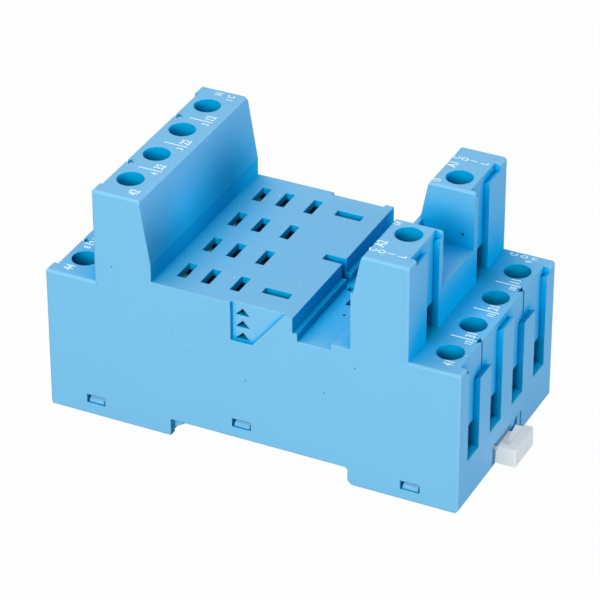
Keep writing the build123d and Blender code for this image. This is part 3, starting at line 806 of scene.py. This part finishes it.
def foot_of(corners: tuple[Triple, Triple]) -> Vector:
    """The middle of the underside of a box.

    Args:
        corners: its lowest and its highest corner.

    Returns:
        The place.
    """
    low, high = (Vector(corner) for corner in corners)
    return Vector(((low.x + high.x) / 2, (low.y + high.y) / 2, low.z))


@dataclass(frozen=True)
class Terminal:
    """One screw terminal, with its places read from the frame."""

    row: Row
    number: int

    @property
    def name(self) -> str:
        """The first part of its nodes' names."""
        return f"{self.row.value}_{self.number}"

    @property
    def axis(self) -> Vector:
        """The middle of its screw, at the height of the screw's tip."""
        return foot_of(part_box(f"{self.name}_screw"))

    @property
    def clamp_foot(self) -> Vector:
        """The middle of the underside of its clamp."""
        return foot_of(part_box(f"{self.name}_cage"))


def all_terminals() -> list[Terminal]:
    """Every terminal, row by row."""
    return [Terminal(row, i) for row in Row for i in range(1, TERMINAL_COUNT[row] + 1)]


@dataclass
class ClampScrews:
    """The slotted and crossed clamp screws, with a rolled thread."""

    length: float = 8.9 * MM
    head_radius: float = 2.45 * MM
    head_height: float = 1.9 * MM
    head_sides: int = 40
    edge_round: float = 0.32 * MM
    edge_flats: int = 3
    under_round: float = 0.32 * MM / 3
    slot_width: float = 0.8 * MM
    slot_depth: float = 0.9 * MM
    cross_length: float = 3.1 * MM
    cross_depth: float = 1.3 * MM
    shank_radius: float = 1.7 * MM
    core_radius: float = 1.42 * MM
    core_overlap: float = 0.2 * MM
    core_sides: int = 24
    tip_chamfer: float = 0.35 * MM
    thread_pitch: float = 0.6 * MM
    thread_start: float = 0.45 * MM
    thread_shortfall: float = 1.2 * MM
    thread_root: float = 0.03 * MM
    crest_gap: float = 0.01 * MM
    flank_share: float = 0.45

    @property
    def under_head(self) -> float:
        """The height of the head's underside above the tip."""
        return self.length - self.head_height

    def model(self) -> Object:
        """One screw.

        Returns:
            The screw, with its tip at the origin.
        """
        under, top = self.under_head, self.length
        head = add_rod("screw_head", self.head_radius, Vector((0, 0, under)), self.head_height, self.head_sides)
        bevel_edges(head, lambda a, b: min(a.z, b.z) > top - NEARLY, self.edge_round, self.edge_flats)
        bevel_edges(head, lambda a, b: max(a.z, b.z) < under + NEARLY, self.under_round, 1)
        cut(head, [self.blade("slot", 2 * self.head_radius + MM, self.slot_width, self.slot_depth),
                   self.blade("cross_along", self.cross_length, self.slot_width, self.cross_depth),
                   self.blade("cross_over", self.slot_width, self.cross_length, self.cross_depth)])
        core = add_rod("screw_core", self.core_radius, Vector(), under + self.core_overlap, self.core_sides)
        bevel_edges(core, lambda a, b: max(a.z, b.z) < NEARLY, self.tip_chamfer, 1)
        screw = join([head, core, self.thread()], "screw_pattern")
        smooth(screw)
        return screw

    def blade(self, name: str, length: float, width: float, depth: float) -> Object:
        """A cutter for one arm of the recess in the head.

        Args:
            name: the object's name.
            length: its size along the socket.
            width: its size across the socket.
            depth: how deep it goes.

        Returns:
            The cutter.
        """
        low = Vector((-length / 2, -width / 2, self.length - depth))
        return add_box(name, low, Vector((length / 2, width / 2, self.length + MM)))

    def thread(self) -> Object:
        """The ridge of the thread, a small triangle carried round and up the core.

        Returns:
            The closed ridge.
        """
        deselect_all()
        bpy.ops.mesh.primitive_circle_add(vertices=3, radius=self.thread_pitch)
        ridge = newest("screw_thread")
        root, crest = self.core_radius - self.thread_root, self.shank_radius - self.crest_gap
        start = self.thread_start + self.shank_radius - self.core_radius
        points = ((root, -self.flank_share), (crest, 0.0), (root, self.flank_share))
        for vertex, (radius, share) in zip(ridge.data.vertices, points):
            vertex.co = Vector((radius, 0, start + share * self.thread_pitch))
        modifier = ridge.modifiers.new("wind", "SCREW")
        modifier.axis = "Z"
        modifier.screw_offset = self.thread_pitch
        modifier.iterations = int((self.under_head - self.thread_shortfall) / self.thread_pitch)
        modifier.steps = self.core_sides
        modifier.render_steps = self.core_sides
        modifier.use_merge_vertices = False
        finish_modifiers(ridge)
        bpy.ops.object.mode_set(mode="EDIT")
        bpy.ops.mesh.select_all(action="SELECT")
        bpy.ops.mesh.remove_doubles(threshold=MERGE_DISTANCE)
        bpy.ops.mesh.fill_holes(sides=4)
        bpy.ops.mesh.normals_make_consistent(inside=False)
        bpy.ops.object.mode_set(mode="OBJECT")
        return ridge

    def build(self, terminals: list[Terminal], finishes: Finishes) -> int:
        """Put a screw in every terminal in place of its plain node.

        Args:
            terminals: where they go.
            finishes: the materials.

        Returns:
            How many were made.
        """
        pattern = self.model()
        finishes.dress(pattern, SCREW)
        for terminal in terminals:
            item = copy_at(pattern, f"{terminal.name}_clamp_screw", terminal.axis)
            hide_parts(f"{terminal.name}_screw")
            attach(item, f"{terminal.name}_screw")
        bpy.data.objects.remove(pattern, do_unlink=True)
        return len(terminals)


@dataclass
class BoxClamps:
    """The folded steel clamps that rise with their screws, with a toothed floor."""

    length: float = 5.0 * MM
    width: float = 6.0 * MM
    wall: float = 0.75 * MM
    floor: float = 0.9 * MM
    corner: float = 0.55 * MM
    corner_flats: int = 4
    mouth: float = 6.5 * MM
    mouth_round: float = 0.15 * MM
    mouth_flats: int = 2
    bore: float = 1.75 * MM
    bore_sides: int = 32
    seam: float = 0.12 * MM
    tooth: float = 0.3 * MM
    tooth_share: float = 0.8
    tooth_count: int = 3

    def model(self, height: float) -> Object:
        """One clamp.

        Args:
            height: its full height.

        Returns:
            The clamp, with the middle of its underside at the origin.
        """
        half_length, half_width = self.length / 2, self.width / 2
        inner = half_width - self.wall

        def runs_along(a: Vector, b: Vector) -> bool:
            """Whether an edge runs along the socket."""
            return abs(a.x - b.x) > half_length

        clamp = add_box("clamp_pattern", Vector((-half_length, -half_width, 0)),
                        Vector((half_length, half_width, height)))
        bevel_edges(clamp, runs_along, self.corner, self.corner_flats)
        mouth = add_box("clamp_mouth", Vector((-self.length, -inner, self.floor)),
                        Vector((self.length, inner, self.floor + self.mouth)))
        bevel_edges(mouth, runs_along, self.mouth_round, self.mouth_flats)
        bore = add_rod("clamp_bore", self.bore, Vector((0, 0, self.floor + self.mouth / 2)), height,
                       self.bore_sides)
        seam = add_box("clamp_seam", Vector((-self.length, -self.seam / 2, -MM)),
                       Vector((self.length, self.seam / 2, self.seam)))
        cut(clamp, [mouth, bore, seam])
        clamp = join([clamp, *self.teeth(2 * inner)], "clamp_pattern")
        smooth(clamp)
        return clamp

    def teeth(self, width: float) -> list[Object]:
        """The ridges across the floor, which grip the wire.

        Args:
            width: how long each one is.

        Returns:
            The loose ridges.
        """
        deselect_all()
        bpy.ops.mesh.primitive_cylinder_add(vertices=3, radius=self.tooth, depth=width, location=(0, 0, 0))
        pattern = newest("tooth_pattern")
        pattern.rotation_euler = (math.pi / 2, 0, 0)
        apply_place(pattern)
        crest = max(vertex.co.z for vertex in pattern.data.vertices)
        z = self.floor + self.tooth * self.tooth_share - crest
        spacing = self.length / (self.tooth_count + 1)
        first = -(self.tooth_count - 1) / 2
        ridges = [copy_at(pattern, f"clamp_tooth_{i}", Vector(((first + i) * spacing, 0, z)))
                  for i in range(self.tooth_count)]
        bpy.data.objects.remove(pattern, do_unlink=True)
        return ridges

    def build(self, terminals: list[Terminal], finishes: Finishes) -> int:
        """Put a clamp under every screw in place of its plain node.

        Args:
            terminals: where they go.
            finishes: the materials.

        Returns:
            How many were made.
        """
        low, high = (Vector(p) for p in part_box(f"{terminals[0].name}_cage"))
        pattern = self.model(high.z - low.z)
        finishes.dress(pattern, CLAMP)
        for terminal in terminals:
            item = copy_at(pattern, f"{terminal.name}_box_clamp", terminal.clamp_foot)
            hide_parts(f"{terminal.name}_cage")
            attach(item, f"{terminal.name}_cage")
        bpy.data.objects.remove(pattern, do_unlink=True)
        return len(terminals)


# ---- printed marks


def beside(axis: Vector, offset: Offset, z: float) -> Vector:
    """A place on a printed surface.

    Args:
        axis: the screw that it is measured from.
        offset: how far it is along and across the socket, in millimetres.
        z: the height of the surface.

    Returns:
        The place.
    """
    return Vector((axis.x + offset[0] * MM, axis.y + offset[1] * MM, z))


@dataclass(frozen=True)
class RowMarks:
    """What is printed beside one straight row of terminals.

    Offsets are from a screw's axis in millimetres: along the socket, then across it. The word reads across
    the socket, from its front face to its back one, beside the last terminal, and its top points to the left.
    """

    row: Row
    numbers: tuple[str, ...]
    pins: tuple[str, ...]
    number_at: Offset
    pin_at: Offset
    last_pin_at: Offset
    line_across: float
    line_from: float
    line_to: float
    word: str
    word_at: tuple[Offset, ...]


@dataclass(frozen=True)
class CoilMarks:
    """What is printed on the two coil towers, whose outer sides carry the row's name.

    Offsets are from a screw's axis in millimetres. Those across the socket point outward for the word and
    the number, and inward for the pin.
    """

    numbers: tuple[str, ...] = ("A2", "A1")
    pins: tuple[str, ...] = ("14", "13")
    number_along: float = -3.1
    number_across: Offset = (4.9, 3.6)
    pin_along: float = -3.3
    pin_across: float = 2.6
    word: str = "COIL"
    word_along: tuple[float, ...] = (-3.5, -1.8, 0.0, 2.1)
    word_across: Offset = (7.3, 6.4)


@dataclass
class PrintedMarks:
    """The white printing on the steps and the towers: terminal numbers, dividing lines and row names."""

    letter_height: float = 1.4 * MM
    number_height: float = 1.88 * MM
    pin_height: float = 1.32 * MM
    capital_share: float = 0.7
    stretch: float = 0.68
    stroke_gain: float = 0.06 * MM
    unwidened: str = "M"  # its strokes would run into each other
    curve_steps: int = 3
    line_width: float = 0.28 * MM
    thickness: float = 0.012 * MM
    rows: tuple[RowMarks, ...] = (
        RowMarks(row=Row.NORMALLY_OPEN, numbers=("44", "34", "24", "14"), pins=("8", "7", "6", "5"),
                 number_at=(-1.25, -4.0), pin_at=(-1.6, 3.6), last_pin_at=(-1.6, 3.6), line_across=4.7,
                 line_from=-2.9, line_to=1.9, word="NO", word_at=((-2.2, 5.0), (0.2, 5.0))),
        RowMarks(row=Row.NORMALLY_CLOSED, numbers=("42", "32", "22", "12"), pins=("4", "3", "2", "1"),
                 number_at=(2.75, -4.0), pin_at=(2.9, 3.45), last_pin_at=(2.7, 3.6), line_across=4.5,
                 line_from=-0.85, line_to=3.9, word="NC", word_at=((-0.1, 4.9), (2.45, 4.9))),
        RowMarks(row=Row.COMMON, numbers=("41", "31", "21", "11"), pins=("12", "11", "10", "9"),
                 number_at=(1.1, -3.45), pin_at=(1.6, 4.2), last_pin_at=(0.65, 3.9), line_across=5.2,
                 line_from=-2.2, line_to=2.7, word="COM", word_at=((-2.85, 5.15), (-0.8, 5.15), (1.2, 5.15))),
    )
    coil: CoilMarks = CoilMarks()

    def text(self, words: str, place: Vector, height: float) -> Object:
        """One letter or number, as a thin flat mesh centred on a place.

        Args:
            words: what it says.
            place: its middle, on the surface that it is printed on.
            height: how tall its letters are.

        Returns:
            The mesh, whose object is at the origin.
        """
        deselect_all()
        bpy.ops.object.text_add()
        item = newest("printed_mark")
        item.data.body = words
        item.data.size = height / self.capital_share
        item.data.offset = 0.0 if words in self.unwidened else self.stroke_gain
        item.data.align_x = "CENTER"
        item.data.align_y = "CENTER"
        item.data.resolution_u = self.curve_steps
        item.data.extrude = self.thickness
        pick(item)
        bpy.ops.object.convert(target="MESH")
        item = bpy.context.object
        turn = Matrix.Rotation(math.pi / 2, 4, "Z") @ Matrix.Diagonal((self.stretch, 1.0, 1.0, 1.0))
        corners = [vertex.co for vertex in item.data.vertices]
        middle = (Vector((min(c.x for c in corners), min(c.y for c in corners), 0))
                  + Vector((max(c.x for c in corners), max(c.y for c in corners), 0))) / 2
        item.data.transform(Matrix.Translation(place) @ turn @ Matrix.Translation(-middle))
        return item

    def line(self, marks: RowMarks, axis: Vector, z: float) -> Object:
        """The dividing line behind one terminal.

        Args:
            marks: what is printed beside its row.
            axis: the terminal's screw.
            z: the surface that it is printed on.

        Returns:
            The line.
        """
        half = Vector((0, self.line_width / 2, self.thickness))
        return add_box("printed_line", beside(axis, (marks.line_from, marks.line_across), z) - half,
                       beside(axis, (marks.line_to, marks.line_across), z) + half)

    def row_marks(self, marks: RowMarks, z: float) -> list[Object]:
        """Everything that is printed beside one straight row.

        Args:
            marks: what is printed.
            z: the surface that it is printed on.

        Returns:
            The loose marks.
        """
        found = []
        axes = [Terminal(marks.row, i).axis for i in range(1, len(marks.numbers) + 1)]
        for number, pin, axis in zip(marks.numbers, marks.pins, axes):
            is_last = axis is axes[-1]
            pin_at = marks.last_pin_at if is_last else marks.pin_at
            found.append(self.text(number, beside(axis, marks.number_at, z), self.number_height))
            found.append(self.text(pin, beside(axis, pin_at, z), self.pin_height))
            if not is_last:
                found.append(self.line(marks, axis, z))
        for letter, offset in zip(marks.word, marks.word_at):
            found.append(self.text(letter, beside(axes[-1], offset, z), self.letter_height))
        return found

    def coil_marks(self, marks: CoilMarks, z: float) -> list[Object]:
        """Everything that is printed on the two coil towers, the front one first.

        Args:
            marks: what is printed.
            z: the surface that it is printed on.

        Returns:
            The loose marks.
        """
        found = []
        for i, outward in enumerate((-1, 1)):
            axis = Terminal(Row.COIL, i + 1).axis
            number_at = (marks.number_along, outward * marks.number_across[i])
            pin_at = (marks.pin_along, -outward * marks.pin_across)
            found.append(self.text(marks.numbers[i], beside(axis, number_at, z), self.number_height))
            found.append(self.text(marks.pins[i], beside(axis, pin_at, z), self.pin_height))
            for letter, along in zip(marks.word, marks.word_along):
                letter_at = (along, outward * marks.word_across[i])
                found.append(self.text(letter, beside(axis, letter_at, z), self.letter_height))
        return found

    def build(self, tower_top: float, finishes: Finishes) -> int:
        """Print every row.

        Args:
            tower_top: the height of the towers.
            finishes: the materials.

        Returns:
            How many pieces were made.
        """
        loose = {marks.row: self.row_marks(marks, tower_top if marks.row is Row.NORMALLY_CLOSED else STEP_TOP)
                 for marks in self.rows}
        loose[Row.COIL] = self.coil_marks(self.coil, tower_top)
        for row, items in loose.items():
            item = join(items, f"print_{row.value}_row")
            finishes.dress(item, INK)
            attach(item, SOCKET_BODY)
        return len(loose)


# ---- small marks of the mould


@dataclass
class GateMarks:
    """The dark pin-head marks that the mould left on the channel's floor and on one coil tower's side."""

    radius: float = 0.3 * MM
    height: float = 0.02 * MM
    sides: int = 16
    channel_at: Triple = (11.3 * MM, -10.0 * MM, CHANNEL_TOP)
    tower_at: Triple = (26.7 * MM, 6.9 * MM, 39.2 * MM)

    def build(self, finishes: Finishes) -> int:
        """Make both marks.

        Args:
            finishes: the materials.

        Returns:
            How many were made.
        """
        on_channel = add_rod("channel_gate_mark", self.radius, Vector(self.channel_at), self.height, self.sides)
        on_tower = add_rod("tower_gate_mark", self.radius, Vector(), self.height, self.sides)
        on_tower.data.transform(Matrix.Translation(self.tower_at) @ Matrix.Rotation(math.pi / 2, 4, "X"))
        for item in (on_channel, on_tower):
            finishes.dress(item, GATE)
            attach(item, SOCKET_BODY)
        return 2


# ---- studio


def direction(azimuth: float, elevation: float) -> Vector:
    """The way from the socket to a place round it.

    Args:
        azimuth: its angle in degrees, 0 in front of the socket and 90 at its right end.
        elevation: its angle above the floor, in degrees.

    Returns:
        The way, one long.
    """
    a, e = math.radians(azimuth), math.radians(elevation)
    return Vector((math.sin(a) * math.cos(e), -math.cos(a) * math.cos(e), math.sin(e)))


@dataclass(frozen=True)
class Softbox:
    """A square area lamp aimed at the socket."""

    name: str
    azimuth: float
    elevation: float
    distance: float
    size: float
    power: float
    colour: Triple


@dataclass
class Studio:
    """A floor that looks white, soft lamps and the camera at the photograph's angle."""

    target: Triple = (-0.00034, -0.00409, 0.02422)
    azimuth: float = 25.963
    elevation: float = 31.991
    roll: float = -0.125
    distance: float = 0.6413
    focal_pixels: float = 3534.63
    frame_pixels: float = 600.0
    sensor: float = 36.0
    nearest: float = 0.01
    farthest: float = 20.0
    lamps: tuple[Softbox, ...] = (
        Softbox("key_lamp", 2.0, 30.0, 1.1, 0.6, 11.8, (1.0, 0.92, 0.83)),
        Softbox("side_lamp", 98.0, 8.0, 1.2, 0.3, 7.8, (1.0, 0.78, 0.82)),
        Softbox("top_lamp", 250.0, 66.0, 1.2, 0.6, 5.3, (0.95, 0.86, 0.93)),
    )
    white: Triple = (1.0, 1.0, 1.0)
    sky_colour: Triple = (0.02, 0.78, 1.0)
    sky_level: float = 0.28
    floor_size: float = 6.0
    floor_colour: Triple = (0.16, 0.42, 0.50)
    floor_roughness: float = 0.9
    floor_glow: float = 0.985

    def stand(self, data: ID, azimuth: float, elevation: float, distance: float, roll: float = 0.0) -> Object:
        """Put a camera or a lamp round the socket, aimed at it.

        Args:
            data: the camera or the lamp.
            azimuth: its angle in degrees, 0 in front of the socket and 90 at its right end.
            elevation: its angle above the floor, in degrees.
            distance: how far it is from the target.
            roll: its turn about its own axis, in degrees.

        Returns:
            Its object.
        """
        item = bpy.data.objects.new(data.name, data)
        bpy.context.collection.objects.link(item)
        way = direction(azimuth, elevation)
        item.location = Vector(self.target) + way * distance
        item.rotation_mode = "QUATERNION"
        item.rotation_quaternion = (-way).to_track_quat("-Z", "Y") @ Quaternion((0, 0, 1), math.radians(roll))
        return item

    def add_camera(self) -> None:
        """Aim and roll the camera as in the photograph."""
        data = bpy.data.cameras.new("camera")
        data.sensor_width = self.sensor
        data.lens = self.sensor * self.focal_pixels / self.frame_pixels
        data.clip_start = self.nearest
        data.clip_end = self.farthest
        bpy.context.scene.camera = self.stand(data, self.azimuth, self.elevation, self.distance, self.roll)

    def add_lamps(self) -> None:
        """Hang the lamps, which don't show in glosses."""
        for lamp in self.lamps:
            data = bpy.data.lights.new(lamp.name, "AREA")
            data.shape = "SQUARE"
            data.size = lamp.size
            data.energy = lamp.power
            data.color = lamp.colour
            self.stand(data, lamp.azimuth, lamp.elevation, lamp.distance).visible_glossy = False

    def add_world(self) -> None:
        """Set up a world that is white to the camera and in glosses, and a faint cyan sky elsewhere."""
        world = bpy.data.worlds.new("studio")
        bpy.context.scene.world = world
        world.use_nodes = True
        tree = world.node_tree
        tree.nodes.clear()
        shown = add_node(tree, "Background", {"Color": self.white, "Strength": 1.0})
        sky = add_node(tree, "Background", {"Color": self.sky_colour, "Strength": self.sky_level})
        path = add_node(tree, "LightPath").outputs
        seen = math_node(tree, "MAXIMUM", path["Is Camera Ray"], path["Is Glossy Ray"])
        mix_shaders(tree, seen, sky, shown, add_node(tree, "OutputWorld"))

    def add_floor(self) -> None:
        """Lay the floor, which looks white but for the socket's soft shadow."""
        deselect_all()
        bpy.ops.mesh.primitive_plane_add(size=self.floor_size, location=(0, 0, 0))
        item = newest("studio_floor")
        material, tree, shader = start_material("studio_floor")
        feed(tree, shader, {"Base Color": self.floor_colour, "Roughness": self.floor_roughness,
                            "Specular IOR Level": 0.0})
        glow = add_node(tree, "Emission", {"Color": self.white, "Strength": 1.0})
        path = add_node(tree, "LightPath").outputs
        share = math_node(tree, "MULTIPLY", path["Is Camera Ray"], self.floor_glow)
        mix_shaders(tree, share, shader, glow, tree.nodes["Material Output"])
        item.data.materials.append(material)

    def build(self) -> None:
        """Set up the whole studio."""
        self.add_camera()
        self.add_lamps()
        self.add_world()
        self.add_floor()
        bpy.context.scene.view_settings.view_transform = "Standard"


# ---- the socket


def dress_nodes(frame: dict[str, Any], finishes: Finishes) -> int:
    """Give every carried-over node its finish, by its material slot in the record.

    Args:
        frame: the loaded frame.
        finishes: the materials.

    Returns:
        How many nodes were dressed.
    """
    by_slot = {finish.name: finish for finish in (BLUE, WHITE, CONTACT, CLAMP, SCREW)}
    parts = frame["record"]["subparts"]
    for part in parts:
        finishes.dress(frame["nodes"][part["node"]], by_slot[part["material_slot"]])
    return len(parts)


def main() -> None:
    """Build the looks of the whole socket, piece by piece."""
    logging.basicConfig(level=logging.INFO, format="%(name)s: %(message)s")
    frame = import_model()
    finishes = Finishes()
    LOG.info("dressed %d nodes", dress_nodes(frame, finishes))
    terminals = all_terminals()
    LOG.info("made %d clamp screws", ClampScrews().build(terminals, finishes))
    LOG.info("made %d box clamps", BoxClamps().build(terminals, finishes))
    tower_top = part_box("housing")[1][2]
    LOG.info("printed %d rows", PrintedMarks().build(tower_top, finishes))
    LOG.info("made %d gate marks", GateMarks().build(finishes))
    Studio().build()


if __name__ == "__main__":
    main()
